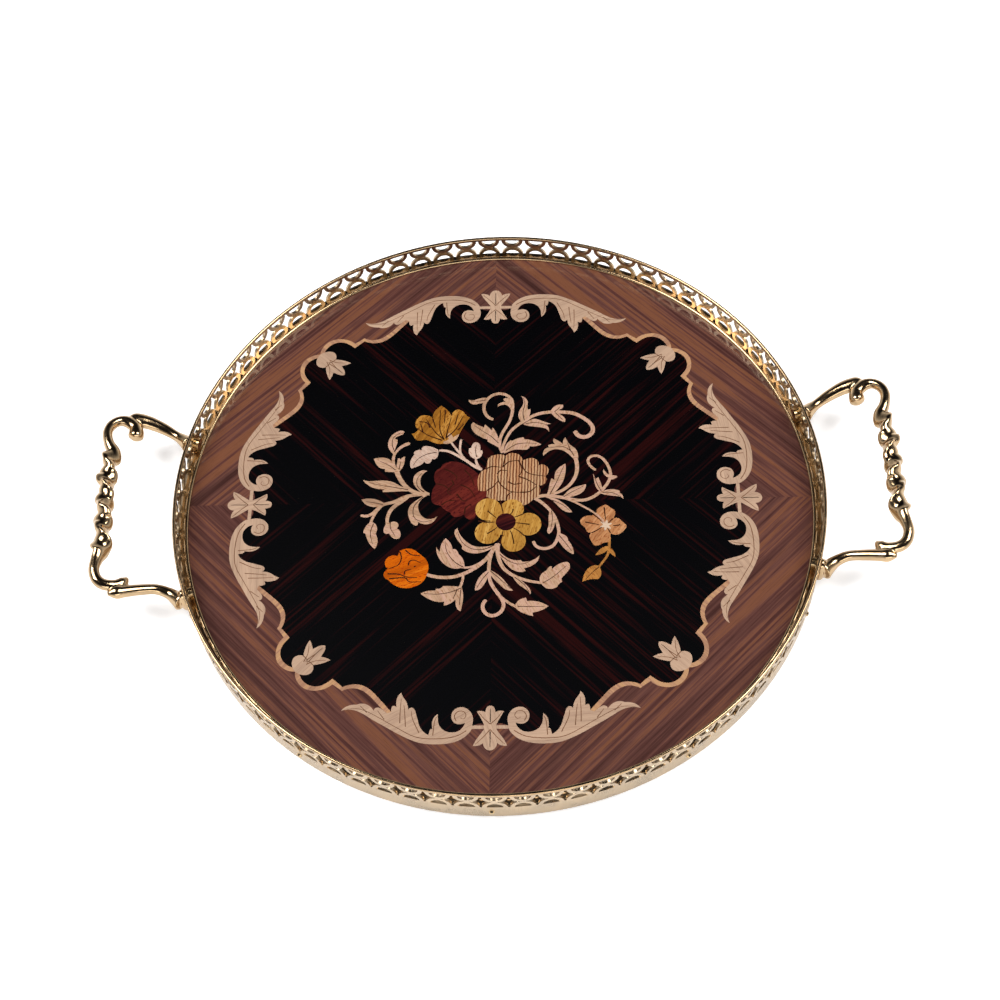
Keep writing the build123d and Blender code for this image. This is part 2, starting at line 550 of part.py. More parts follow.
def draw_lower_spray():
    outline(
        [(3.6, -26.2), (-0.8, -28), (-5, -28.6), (-10.1, -28), (-14.1, -25.3), (-17.2, -21.6),
         (-19.2, -16.7)],
        [(-20.7, -18.9), (-20.2, -21.9), (-18.3, -25.2), (-16.4, -28.1)],
        [(-16.5, -29.7)],
        [(-13.6, -31.7), (-9.1, -32.7), (-4.6, -31.8), (-0.4, -29.8)],
    )
    stem([(2.6, -27), (-0.3, -31.7), (-3.9, -36.8), (-8.8, -41.3), (-14.1, -44.5), (-20.2, -46.7),
          (-26.8, -47.1), (-32.4, -46.1), (-34.4, -45.4)], 2.2, 1.9)
    stem([(-3.6, -36), (-8.1, -39.6), (-11.6, -41), (-16.2, -41)], 1.6, 1.2)
    stem([(-15.6, -45.2), (-15.7, -48.6), (-17, -53)], 1.3, 1.5)
    stem([(2, -27.6), (-0.7, -33.4), (-1.7, -39.1), (-1.7, -44.8), (-0.9, -50), (1.4, -54.6),
          (4.5, -59.4), (6.2, -64.2), (4.2, -68.7), (-0.6, -70.3), (-4.1, -67.6), (-4.8, -64.2),
          (-3.6, -61.6)], 1.9, 2)
    stem([(3.6, -58), (8.6, -62.6), (13.6, -65.6)], 1.5, 1.5)
    stem([(3, -26.6), (2.7, -31.1), (3.5, -36.2), (5.6, -41.3), (9.5, -45.3), (14.7, -48.2),
          (19.8, -49.9), (27, -51.2)], 2.4, 1.5)
    outline(
        [(-14.8, -40.8), (-15.3, -37.5), (-16.6, -34.6), (-18.2, -33)],
        [(-19.1, -30.8), (-20.4, -29.8), (-21.5, -30)],
        [(-22.2, -27.3), (-23.7, -24.7), (-25.5, -23)],
        [(-27.1, -25.3), (-28.1, -28.4), (-28.3, -31.4)],
        [(-29.3, -30.2), (-30.4, -28.4)],
        [(-30, -32), (-28.3, -36), (-25.3, -39.4), (-21.7, -41.5), (-18.2, -41.8)],
    )
    outline(
        [(-16.2, -52.9), (-21.7, -52.4), (-26, -52.3)],
        [(-27, -53.4), (-29.8, -53.9)],
        [(-30.2, -55)],
        [(-33.4, -55), (-38, -56.7)],
        [(-35.4, -58.8), (-31.9, -60.8), (-27.6, -61.9), (-25.2, -61.6)],
        [(-25.4, -64.1)],
        [(-22.3, -63), (-19.3, -60.4)],
        [(-19, -63.8), (-18, -66.4), (-16.4, -67.4)],
        [(-15.6, -63.3), (-15.3, -57.4), (-15.8, -54.4)],
        [],
    )
    outline(
        [(-1.5, -42.6), (-4.8, -44.8), (-7.7, -48.9), (-9.1, -55.2)],
        [(-6.6, -54.5), (-4.3, -51.7), (-2.2, -47)],
    )
    outline(
        [(-1.8, -42.6), (2.6, -45.4), (6.1, -48.9), (8.9, -52.9), (11.2, -55.5)],
        [(7.8, -55.1), (4.4, -52.3), (1.3, -48.9), (-1.2, -45.4)],
        [],
    )
    outline(
        [(10.6, -46.2), (15.2, -49.4), (18.1, -52.2), (20.4, -55.4), (20.3, -58)],
        [(18.7, -55.7), (15.2, -52.9), (12.4, -49.8)],
    )
    outline(
        [(2.8, -30), (5.2, -33.2), (8.4, -35.8), (15.2, -37.1)],
        [(16.1, -38.2)],
        [(20.4, -37.6), (25.2, -34.4)],
        [(24.4, -37.4), (22.1, -40), (18.9, -41.6), (17, -42)],
        [(17.8, -43.8)],
        [(14.1, -44.3), (10.1, -42.4), (6.7, -38.6), (3.4, -33.4)],
        [],
    )
    outline(
        [(25.9, -51.6), (25.3, -48.4), (26.4, -45.5), (29.2, -43.2), (30.2, -41.7), (31.2, -41.2),
         (31.7, -43.2)],
        [(35.2, -40), (38.2, -38.8), (40.6, -38.9), (41.5, -41.2), (39.9, -44.8), (36.8, -48.8)],
        [(37.3, -50.6)],
        [(35.6, -51.9), (34.5, -53.7)],
        [(31.5, -54.8), (28.4, -54.3)],
        [],
    )
    outline(
        [(12.2, -65.4), (13.3, -62.4), (18, -59.9)],
        [(18.6, -61.9)],
        [(24.2, -62.3), (29.9, -65.1)],
        [(26.1, -67.5), (21.4, -68.8)],
        [(21.8, -70.9)],
        [(18.5, -69.9), (14.7, -68)],
    )


def export(name, part):
    """Write one labelled piece, named as its node."""
    part.label = name
    export_step(part, f"parts/{name}.step")


os.makedirs("parts", exist_ok=True)

# ---- inlays: cut shapes, drawn from the front of the bouquet to the back ------------------------
sides = ("back", "right", "front", "left")
corners = ("back_right", "front_right", "front_left", "back_left")
inlays = {}
bouquet = (
    ("flower_eye", draw_eye), ("yellow_flower", draw_yellow_flower), ("striped_rose", draw_striped_rose),
    ("red_rose", draw_red_rose), ("carnation_calyx", draw_calyx), ("carnation", draw_carnation),
    ("orange_rose", draw_orange_rose), ("small_flower_stamens", draw_stamens),
    ("right_spray", draw_right_spray),
    ("small_flower", draw_small_flower), ("amber_sprig", draw_amber_sprig), ("top_spray", draw_top_spray),
    ("left_spray", draw_left_spray), ("upper_left_spray", draw_upper_left_spray),
    ("lower_spray", draw_lower_spray),
)
for name, draw in bouquet:
    with BuildSketch() as shape:
        draw()
        for nearer in list(inlays.values()):
            add(nearer, mode=Mode.SUBTRACT)
    inlays[name] = shape.sketch_local

border_inlays = {}
for quarter, side in enumerate(sides):
    for flip, hand in ((False, "a"), (True, "b")):
        with BuildSketch() as scroll:
            outline(*(placed(run, quarter, flip) for run in scroll_runs))
        border_inlays[f"scroll_{side}_{hand}"] = scroll.sketch_local
    with BuildSketch() as palmette:
        for flip in (False, True):
            outline(*(placed(run, quarter, flip) for run in palmette_half))
        for flip in (False, True):
            add(border_inlays[f"scroll_{side}_{'b' if flip else 'a'}"], mode=Mode.SUBTRACT)
    border_inlays[f"palmette_{side}"] = palmette.sketch_local
    corner = corners[quarter]
    with BuildSketch() as tulip:
        outline(*(placed(run, quarter, False) for run in tulip_half))
        outline(*(placed([(y, x) for x, y in run], quarter, False) for run in tulip_half))
    border_inlays[f"tulip_{corner}"] = tulip.sketch_local
for quarter, corner in enumerate(corners):
    side, after = sides[quarter], sides[(quarter + 1) % 4]
    with BuildSketch() as straps:
        outline(*(placed(run, quarter, False) for run in strap_runs))
        outline(*(placed(run, (quarter + 1) % 4, True) for run in strap_runs))
        for nearer in (f"tulip_{corner}", f"scroll_{side}_a", f"scroll_{after}_b"):
            add(border_inlays[nearer], mode=Mode.SUBTRACT)
    border_inlays[f"straps_{corner}"] = straps.sketch_local

for name, shape in {**inlays, **border_inlays}.items():
    with BuildPart() as inlay:
        with BuildSketch(pattern_plane(core_top)):
            add(shape)
        extrude(amount=veneer)
    export(f"inlay_{name}", inlay.part)

# ---- grounds: dark field and walnut border, each in four matched quarters -----------------------
for quarter, corner in enumerate(corners):
    with BuildPart() as ground:
        with BuildSketch(pattern_plane(core_top)):
            field_quarter(quarter)
            for shape in (*inlays.values(), *border_inlays.values()):
                add(shape, mode=Mode.SUBTRACT)
        extrude(amount=veneer)
    export(f"field_{corner}", ground.part)

turn = radians(pattern_turn)
gallery_centre = (
    -pattern_centre[0] * cos(turn) - pattern_centre[1] * sin(turn),
    pattern_centre[0] * sin(turn) - pattern_centre[1] * cos(turn),
)
for quarter, corner in enumerate(corners):
    with BuildPart() as border:
        with BuildSketch(pattern_plane(core_top)):
            with Locations(gallery_centre):
                Circle(panel_radius)
            with Locations(placed([(panel_radius, panel_radius)], quarter, False)[0]):
                Rectangle(2 * panel_radius, 2 * panel_radius, mode=Mode.INTERSECT)
            for inner in range(4):
                field_quarter(inner, Mode.SUBTRACT)
            for shape in border_inlays.values():
                add(shape, mode=Mode.SUBTRACT)
        extrude(amount=veneer)
    export(f"border_{corner}", border.part)

# ---- panel ------------------------------------------------------------------------------------
pin_angles = [pin_phase + 180 * half + pin_step * step for half in range(2) for step in range(-2, 3)]
with BuildPart() as core_board:
    with BuildSketch(Plane.XY.offset(veneer)):
        Circle(panel_radius)
    extrude(amount=core_top - veneer)
    pin_ends = [radial_plane(gallery_radius - pin_depth, angle, pin_height) for angle in pin_angles]
    with BuildSketch(*pin_ends):
        Circle(pin_shank / 2)
    extrude(amount=pin_depth, mode=Mode.SUBTRACT)
export("core_board", core_board.part)

with BuildPart() as underside:
    with BuildSketch():
        Circle(panel_radius)
    extrude(amount=veneer)
export("underside_veneer", underside.part)

ledge_width = panel_radius - ledge_inner
for name, first in (("rim_ledge_back", 0), ("rim_ledge_front", 180)):
    with BuildPart() as ledge:
        with BuildSketch(Plane.XZ.rotated((0, 0, first))):
            with Locations((ledge_inner, panel_thickness)):
                Rectangle(ledge_width, ledge_flange, align=(Align.MIN, Align.MIN))
            with Locations((ledge_inner + ledge_bead, panel_thickness + bead_lift)):
                Circle(ledge_bead)
            with Locations((ledge_inner, panel_thickness)):
                Rectangle(ledge_width, 2 * ledge_bead, align=(Align.MIN, Align.MIN), mode=Mode.INTERSECT)
        revolve(axis=Axis.Z, revolution_arc=180)
    export(name, ledge.part)

# ---- gallery ----------------------------------------------------------------------------------
# The strip is rolled in two halves that meet in the middle of a lattice opening by each handle.
opening_height = opening_high - opening_low
spacing = 2 * gallery_radius * sin(radians(pitch / 2))
lattice_middle = (opening_low + opening_high) / 2
seam_angle = pitch / 4
cut_start = panel_radius - 2      # openings are cut from just inside the strip to just outside it
cut_depth = wall_thickness + 4
halves = (
    ("gallery_back", seam_angle, repeats // 2),
    ("gallery_front", -180 - seam_angle, repeats - repeats // 2),
)
for name, first, count in halves:
    with BuildPart() as wall:
        with BuildSketch(Plane.XZ.rotated((0, 0, first))):
            with Locations((panel_radius, wall_foot)):
                Rectangle(wall_thickness, wall_top - wall_foot, align=(Align.MIN, Align.MIN))
        revolve(axis=Axis.Z, revolution_arc=count * pitch)
        stars = [radial_plane(cut_start, first + pitch * k, lattice_middle) for k in range(count + 1)]
        with BuildSketch(*stars):
            Rectangle(spacing - waist, opening_height)
            with GridLocations(spacing, opening_height, 2, 2):
                Circle(ring_outer, mode=Mode.SUBTRACT)
        extrude(amount=cut_depth, mode=Mode.SUBTRACT)
        rings = [radial_plane(cut_start, first + pitch * (k + 0.5), lattice_middle) for k in range(count)]
        with BuildSketch(*rings):
            with GridLocations(spacing, opening_height, 1, 2):
                Circle(ring_outer - ring_bar)
            Rectangle(spacing, opening_height, mode=Mode.INTERSECT)
        extrude(amount=cut_depth, mode=Mode.SUBTRACT)
        with BuildSketch(*(radial_plane(cut_start, angle, pin_height) for angle in pin_angles)):
            Circle(pin_shank / 2)
        extrude(amount=cut_depth, mode=Mode.SUBTRACT)
    export(name, wall.part)

for name, first in (("top_rail_back", seam_angle), ("top_rail_front", 180 + seam_angle)):
    with BuildPart() as rail:
        with BuildSketch(Plane.XZ.rotated((0, 0, first))):
            with Locations((rail_centre, wall_top + rail_radius)):
                Circle(rail_radius)
        revolve(axis=Axis.Z, revolution_arc=180)
    export(name, rail.part)

with BuildPart() as pins:
    for angle in pin_angles:
        with BuildSketch(radial_plane(gallery_radius - pin_depth, angle, pin_height)):
            Circle(pin_shank / 2)
        extrude(amount=pin_depth)
        with BuildSketch(radial_plane(gallery_radius, angle, pin_height)):
            Circle(pin_head / 2)
        extrude(amount=pin_head_height, taper=30)
export("gallery_pins", pins.part)

# ---- handles: outwards from the centre, along the handle from its middle, above the panel -------
# The grip, with a crook at its back end and a hook at its front end, is one bent bar. Two arms carry it.
grip_bar = (
    (198.6, 49.5, 11.6), (199.2, 59, 12.4), (209.5, 61.5, 15.8), (214.5, 50.5, 17.2), (210.5, 39, 16.2),
    (212.6, 27, 16.9), (212.6, -27, 16.9), (216, -36.5, 17.6), (211.5, -44.5, 16.2), (200, -42.5, 12.6),
)
back_arm = ((167, 47, 5), (176, 53, 5.2), (186, 59.5, 6.8), (196, 62, 10.4), (203, 61.3, 12.9))
front_arm = ((167, -50, 4.4), (176, -46, 4.4), (185, -43.8, 6.6), (193, -45.2, 9.4), (204.8, -48.4, 14))
grip_knots = (24, 12, 0, -12, -24)
knot_radius = 5.4
foot_size = (4.5, 8.8)          # half width and half height of the oval pad against the gallery
foot_drop = 5.3                 # the pad's middle below its screw
foot_thickness = 3.0
boss_radius = 4.1               # round boss that an arm grows out of
boss_drop = 1.4
boss_length = 6.0
foot_overlap = 2.0              # the feet start inside the gallery and are cut back to its outside
handle_top = 60


def on_handle(reach, along, above):
    """A place on the right-hand handle."""
    turn = radians(handle_angles["right"])
    return (
        reach * cos(turn) - along * sin(turn),
        reach * sin(turn) + along * cos(turn),
        panel_thickness + above,
    )


def bar(points, diameter, bend):
    """A round cast bar through these points, its corners bent to one radius."""
    places = [on_handle(*point) for point in points]
    with BuildPart() as piece:
        with BuildLine() as centre:
            FilletPolyline(*places, radius=bend)
        with BuildSketch(Plane(origin=places[0], z_dir=centre.line % 0)):
            Circle(diameter / 2)
        sweep(path=centre.line)
    return piece.part


bars = [bar(grip_bar, 6.8, 4.2), bar(back_arm, 6.2, 10), bar(front_arm, 5.7, 10)]
feet = [handle_angles["right"] + side * foot_angle for side in (-1, 1)]
with BuildPart() as handle:
    add(bars)
    for along in grip_knots:
        with Locations(on_handle(212.6, along, 16.9)):
            Sphere(knot_radius)
    for foot in feet:
        with BuildSketch(radial_plane(gallery_radius - foot_overlap, foot, screw_height - foot_drop)):
            Ellipse(*foot_size)
        extrude(amount=foot_overlap + foot_thickness)
        with BuildSketch(radial_plane(gallery_radius - foot_overlap, foot, screw_height - boss_drop)):
            Circle(boss_radius)
        extrude(amount=foot_overlap + boss_length, taper=5)
    with BuildSketch():
        Circle(gallery_radius)
    extrude(amount=handle_top, mode=Mode.SUBTRACT)
    for foot in feet:
        with BuildSketch(radial_plane(gallery_radius - foot_overlap, foot, screw_height)):
            Circle(screw_shank / 2)
        extrude(amount=foot_overlap + screw_bite + 1, mode=Mode.SUBTRACT)
export("handle_right", handle.part)

with BuildPart() as left_handle:
    add(handle.part)
    mirror(about=Plane.YZ, mode=Mode.REPLACE)
export("handle_left", left_handle.part)

washer_seat = panel_radius * cos(asin(washer_radius / panel_radius))
with BuildPart() as screws:
    for angle in handle_angles.values():
        for side in (-1, 1):
            foot = angle + side * foot_angle
            seat = washer_seat - washer_thickness
            with BuildSketch(radial_plane(seat, foot, screw_height)):
                Circle(screw_shank / 2 - thread_clearance)
            extrude(amount=gallery_radius + screw_bite - seat)
            with BuildSketch(radial_plane(seat, foot, screw_height)):
                Circle(screw_head / 2)
            extrude(amount=-screw_head_height)
            with BuildSketch(radial_plane(seat - screw_head_height, foot, screw_height)):
                Rectangle(screw_slot, screw_head)
            extrude(amount=screw_slot, mode=Mode.SUBTRACT)
export("handle_screws", screws.part)

with BuildPart() as washers:
    for angle in handle_angles.values():
        for side in (-1, 1):
            with BuildSketch(radial_plane(washer_seat, angle + side * foot_angle, screw_height)):
                Circle(washer_radius)
                Circle(screw_shank / 2, mode=Mode.SUBTRACT)
            extrude(amount=-washer_thickness)
export("handle_washers", washers.part)
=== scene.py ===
from math import cos, pi, radians, sin, sqrt

import bpy
from mathutils import Matrix, Vector


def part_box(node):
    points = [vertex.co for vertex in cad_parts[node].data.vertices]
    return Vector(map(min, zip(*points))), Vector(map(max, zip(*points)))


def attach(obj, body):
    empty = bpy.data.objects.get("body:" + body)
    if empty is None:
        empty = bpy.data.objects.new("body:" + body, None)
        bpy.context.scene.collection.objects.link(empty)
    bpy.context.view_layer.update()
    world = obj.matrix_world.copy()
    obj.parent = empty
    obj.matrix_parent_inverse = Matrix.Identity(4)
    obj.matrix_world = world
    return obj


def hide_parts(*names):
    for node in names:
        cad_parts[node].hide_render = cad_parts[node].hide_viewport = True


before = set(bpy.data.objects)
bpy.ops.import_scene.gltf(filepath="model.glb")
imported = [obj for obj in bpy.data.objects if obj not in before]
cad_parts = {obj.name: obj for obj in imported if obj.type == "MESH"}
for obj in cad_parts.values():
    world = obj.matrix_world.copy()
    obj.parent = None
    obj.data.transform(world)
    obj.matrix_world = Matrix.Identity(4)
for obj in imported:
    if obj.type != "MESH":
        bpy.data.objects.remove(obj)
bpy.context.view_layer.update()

MM = 0.001
PATTERN_DEGREES = -2.28             # the marquetry lies a little off the handles' axis
PATTERN_TURN = radians(PATTERN_DEGREES)
PATTERN_CENTRE = (-2.87, 0.91)
PANEL_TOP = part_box("border_back_right")[1].z / MM
WALL_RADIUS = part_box("gallery_front")[1].x / MM
HANDLE_DEGREES = -1.14
HANDLE_TURN = radians(HANDLE_DEGREES)
FOOT_DEGREES = 15.95                # each foot of a handle, to either side of its middle
WOOD_LEVEL = 0.68                   # scales the wood colours below to the strength of the lights

# Noise cells in a metre of wood: along the grain, across it and through it.
FIGURE_SCALE = (6, 95, 60)
LINE_SCALE = (9, 620, 60)
FIBRE_SCALE = (90, 2600, 400)
FLECK_SCALE = (420, 1500, 400)
BLACK = (0, 0, 0)
WHITE = (1, 1, 1)


# ---- materials ---------------------------------------------------------------------------------
class Nodes:
    """A short way to write a node tree."""

    def __init__(self, name):
        self.material = bpy.data.materials.new(name)
        self.material.use_nodes = True
        self.tree = self.material.node_tree
        self.shader = self.tree.nodes["Principled BSDF"]

    def add(self, kind, values=(), **settings):
        node = self.tree.nodes.new(kind)
        for key, value in settings.items():
            setattr(node, key, value)
        for key, value in dict(values).items():
            if isinstance(value, bpy.types.NodeSocket):
                self.tree.links.new(value, node.inputs[key])
            else:
                node.inputs[key].default_value = value
        return node

    def place(self):
        return self.add("ShaderNodeTexCoord").outputs["Object"]

    def mapped(self, vector, degrees=0, scale=(1, 1, 1)):
        """Coordinates turned about Z and stretched."""
        values = {"Vector": vector, "Rotation": (0, 0, radians(degrees)), "Scale": scale}
        return self.add("ShaderNodeMapping", values).outputs[0]

    def noise(self, vector, scale=1.0, **settings):
        values = {"Vector": vector, "Scale": scale, **settings}
        return self.add("ShaderNodeTexNoise", values).outputs["Fac"]

    def math(self, operation, first, second=0.0):
        return self.add("ShaderNodeMath", {0: first, 1: second}, operation=operation).outputs[0]

    def ramp(self, factor, stops):
        node = self.add("ShaderNodeValToRGB", {"Fac": factor})
        ramp = node.color_ramp
        while len(ramp.elements) < len(stops):
            ramp.elements.new(0.5)
        for element, (place, colour) in zip(ramp.elements, stops):
            element.position = place
            element.color = (*colour, 1)
        return node.outputs["Color"]

    def mix(self, factor, first, second, blend="MIX"):
        node = self.add("ShaderNodeMix", data_type="RGBA", blend_type=blend)
        for key, value in ((0, factor), (6, first), (7, second)):
            if isinstance(value, bpy.types.NodeSocket):
                self.tree.links.new(value, node.inputs[key])
            elif key == 0:
                node.inputs[key].default_value = value
            else:
                node.inputs[key].default_value = (*value, 1)
        return node.outputs[2]

    def bump(self, height, **settings):
        values = {"Height": height, **settings}
        return self.add("ShaderNodeBump", values).outputs[0]

    def set(self, **values):
        for key, value in values.items():
            socket = self.shader.inputs[key.replace("_", " ")]
            if isinstance(value, bpy.types.NodeSocket):
                self.tree.links.new(value, socket)
            else:
                socket.default_value = value
        return self.material


def linear(rgb):
    return tuple((c / 255) ** 2.2 for c in rgb)


def scaled(rgb, by):
    return tuple(min(1, c * by) for c in rgb)


def wood_tone(rgb):
    return scaled(linear(rgb), WOOD_LEVEL)


def wood(name, colour, grain=0.0, contrast=0.25, streak=None, lacquer=True, coarse=1.0, stripes=None,
         spread=0.5, flecks=None):
    """Veneer or board, its fibres running at grain degrees.

    Streak is the colour of its heartwood bands, which get rarer as spread grows. Stripes is how close
    its cross bands are, and their colour. Flecks is the colour of its spots. The smaller coarse is,
    the wider the figure."""
    n = Nodes(name)
    base = wood_tone(colour)
    place = n.place()
    along = n.mapped(place, -grain)
    lengthwise, crosswise, depthwise = FIGURE_SCALE
    wide = n.mapped(along, scale=(lengthwise * coarse, crosswise * coarse, depthwise))
    figure = n.noise(wide, Detail=5.0, Roughness=0.6, Distortion=0.25)
    lines = n.noise(n.mapped(along, scale=LINE_SCALE), Detail=3.0, Distortion=0.1)
    fibre = n.noise(n.mapped(along, scale=FIBRE_SCALE), Detail=3.0)
    dark, light = scaled(base, 1 - contrast), scaled(base, 1 + contrast)
    tone = n.ramp(figure, [(0.3, dark), (0.5, base), (0.72, light)])
    dark_lines = n.ramp(lines, [(0.36, (0.52, 0.46, 0.48)), (0.56, WHITE)])
    tone = n.mix(min(1.0, contrast * 2.2), tone, dark_lines, "MULTIPLY")
    if streak:
        average = n.math("MULTIPLY", n.math("ADD", figure, lines), 0.5)
        band = n.ramp(average, [(spread, BLACK), (spread + 0.08, WHITE)])
        tone = n.mix(band, tone, wood_tone(streak))
    pores = n.ramp(fibre, [(0.34, (0.55, 0.5, 0.48)), (0.47, WHITE)])
    tone = n.mix(0.55, tone, pores, "MULTIPLY")
    if flecks:
        spots = n.noise(n.mapped(along, scale=FLECK_SCALE), Detail=2.0)
        tone = n.mix(n.ramp(spots, [(0.56, BLACK), (0.66, WHITE)]), tone, wood_tone(flecks))
    if stripes:
        closeness, stripe = stripes
        values = {"Vector": n.mapped(place, 4), "Scale": closeness, "Distortion": 1.6, "Detail": 2.0,
                  "Detail Scale": 2.0}
        wave = n.add("ShaderNodeTexWave", values, bands_direction="X").outputs["Fac"]
        tone = n.mix(n.ramp(wave, [(0.5, BLACK), (0.82, WHITE)]), tone, wood_tone(stripe))
    relief = n.bump(fibre, Strength=0.06, Distance=0.0001)
    n.set(Base_Color=tone, Roughness=0.42 if lacquer else 0.6, Normal=relief)
    if lacquer:
        n.set(Coat_Weight=1.0, Coat_Roughness=0.03, Coat_IOR=1.5, Specular_IOR_Level=0.05)
    return n.material


def apron_ribs(n, place, normal):
    """Fine ribs along the gallery's apron and across it, below the lattice."""
    ribs_per_radian = 1100.0
    ribs_per_metre = 6200.0
    split = n.add("ShaderNodeSeparateXYZ", {"Vector": place})
    turn = n.math("ARCTAN2", split.outputs[1], split.outputs[0])
    round_rim = n.math("MULTIPLY", turn, ribs_per_radian)
    up_rim = n.math("MULTIPLY", split.outputs[2], ribs_per_metre)
    grid = n.math("ADD", n.math("SINE", round_rim), n.math("SINE", up_rim))
    low = n.math("LESS_THAN", split.outputs[2], PANEL_TOP * MM)
    return n.bump(n.math("MULTIPLY", grid, low), Strength=0.35, Distance=0.0001, Normal=normal)


def brass(name, colour, roughness, milled=False, cast=False):
    """Polished and lacquered brass; milled adds the apron's ribs and cast a rougher skin."""
    n = Nodes(name)
    base = linear(colour)
    place = n.place()
    cloud = n.noise(place, 90.0, Detail=5.0)
    tone = n.ramp(cloud, [(0.3, scaled(base, 0.8)), (0.55, base), (0.8, scaled(base, 1.12))])
    values = {"Value": cloud, "From Min": 0.3, "From Max": 0.7, "To Min": roughness * 0.75,
              "To Max": roughness * 1.35}
    rough = n.add("ShaderNodeMapRange", values).outputs[0]
    skin = n.noise(place, 380.0 if cast else 900.0, Detail=3.0)
    normal = n.bump(skin, Strength=0.25 if cast else 0.08, Distance=0.0002)
    if milled:
        normal = apron_ribs(n, place, normal)
    n.set(Base_Color=tone, Metallic=1.0, Roughness=rough, Normal=normal)
    return n.material


def dress(node, material):
    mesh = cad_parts[node].data
    mesh.materials.clear()
    mesh.materials.append(material)


GRAIN_OF = {"back_right": 45, "front_right": -45, "front_left": 45, "back_left": -45}
EBONY = (4, 3, 9)
EBONY_STREAK = (46, 15, 14)
WALNUT = (118, 78, 70)
WALNUT_STREAK = (134, 86, 64)
MAPLE = (214, 178, 150)
PEAR = (205, 155, 122)
PEAR_STREAK = (215, 165, 120)
SPRAY = (220, 178, 144)
SPRAY_STREAK = (222, 176, 152)
SPRAY_FLECK = (176, 128, 96)


def dress_grounds():
    """The field's fibres run along the diagonals, and the border's run across them."""
    for corner, grain in GRAIN_OF.items():
        ebony = wood("ebony_" + corner, EBONY, PATTERN_DEGREES + grain, 0.4, EBONY_STREAK, coarse=0.9,
                     spread=0.535)
        dress("field_" + corner, ebony)
        walnut = wood("walnut_" + corner, WALNUT, PATTERN_DEGREES - grain, 0.45, WALNUT_STREAK,
                      coarse=0.8)
        dress("border_" + corner, walnut)


def dress_border_inlays():
    for side, grain in (("back", 10), ("right", -70), ("front", 14), ("left", -75)):
        for hand, lean in (("a", 12), ("b", -12)):
            maple = wood(f"maple_{side}_{hand}", MAPLE, grain + lean, 0.12)
            dress(f"inlay_scroll_{side}_{hand}", maple)
        dress("inlay_palmette_" + side, wood("maple_palmette_" + side, MAPLE, grain + 90, 0.12))
    for corner, grain in GRAIN_OF.items():
        dress("inlay_straps_" + corner, wood("pear_" + corner, PEAR, grain, 0.2, PEAR_STREAK))
        dress("inlay_tulip_" + corner, wood("maple_tulip_" + corner, MAPLE, grain, 0.12))


def dress_bouquet():
    """Each flower is cut from its own wood. The sprays are one wood, laid in different directions."""
    woods = {
        "carnation": wood("satinwood_gold", (190, 126, 48), 60, 0.3, (212, 150, 70),
                          flecks=(128, 74, 26)),
        "carnation_calyx": wood("calyx_tan", (219, 176, 140), -50, 0.15),
        "red_rose": wood("padauk_red", (98, 38, 34), 35, 0.3, (116, 46, 38), flecks=(70, 22, 24)),
        "striped_rose": wood("zebra_cream", (233, 188, 142), 88, 0.25, (206, 148, 104),
                             stripes=(190.0, (112, 60, 38))),
        "yellow_flower": wood("satinwood_yellow", (214, 156, 72), 75, 0.2, (226, 174, 92),
                              flecks=(146, 92, 34)),
        "flower_eye": wood("rosewood_dark", (56, 22, 26), 20, 0.4, (84, 34, 30)),
        "orange_rose": wood("padauk_orange", (236, 112, 12), 20, 0.2, (240, 130, 30),
                            flecks=(180, 62, 12)),
        "small_flower": wood("pear_orange", (212, 146, 96), 50, 0.2, (222, 160, 112),
                             flecks=(160, 92, 52)),
        "small_flower_stamens": wood("holly", (236, 205, 176), 0, 0.06),
        "amber_sprig": wood("amber", (206, 140, 72), -60, 0.2, flecks=(150, 86, 36)),
        "upper_left_spray": wood("pink_maple", (232, 198, 176), -40, 0.12, flecks=(196, 148, 126)),
    }
    for place, grain in (("top", 70), ("right", 15), ("left", -20), ("lower", -65)):
        woods[place + "_spray"] = wood("tan_" + place, SPRAY, grain, 0.18, SPRAY_STREAK,
                                       flecks=SPRAY_FLECK)
    for name, material in woods.items():
        dress("inlay_" + name, material)


def dress_board():
    dress("core_board", wood("poplar_core", (186, 150, 108), 0, 0.2, lacquer=False))
    underside = wood("underside_walnut", (104, 66, 46), 0, 0.3, (126, 82, 54), lacquer=False,
                     coarse=0.8)
    dress("underside_veneer", underside)


def dress_metal(cast_brass):
    strip_brass = brass("strip_brass", (186, 164, 134), 0.3, milled=True)
    rail_brass = brass("rail_brass", (190, 160, 122), 0.18)
    for name in ("gallery_front", "gallery_back"):
        dress(name, strip_brass)
    for name in ("top_rail_back", "top_rail_front", "rim_ledge_back", "rim_ledge_front"):
        dress(name, rail_brass)
    for name in ("gallery_pins", "handle_screws", "handle_washers"):
        dress(name, brass(name + "_brass", (196, 168, 126), 0.22))
    for name in ("handle_left", "handle_right"):
        dress(name, cast_brass)


dress_grounds()
dress_border_inlays()
dress_bouquet()
dress_board()
cast_brass = brass("cast_brass", (186, 158, 122), 0.15, cast=True)
dress_metal(cast_brass)


# ---- shapes ------------------------------------------------------------------------------------
def new_object(name, vertices, faces, material, smooth=True):
    mesh = bpy.data.meshes.new(name)
    mesh.from_pydata([tuple(c * MM for c in v) for v in vertices], [], faces)
    mesh.polygons.foreach_set("use_smooth", [smooth] * len(mesh.polygons))
    mesh.materials.append(material)
    mesh.update()
    thing = bpy.data.objects.new(name, mesh)
    bpy.context.scene.collection.objects.link(thing)
    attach(thing, "root")
    return thing


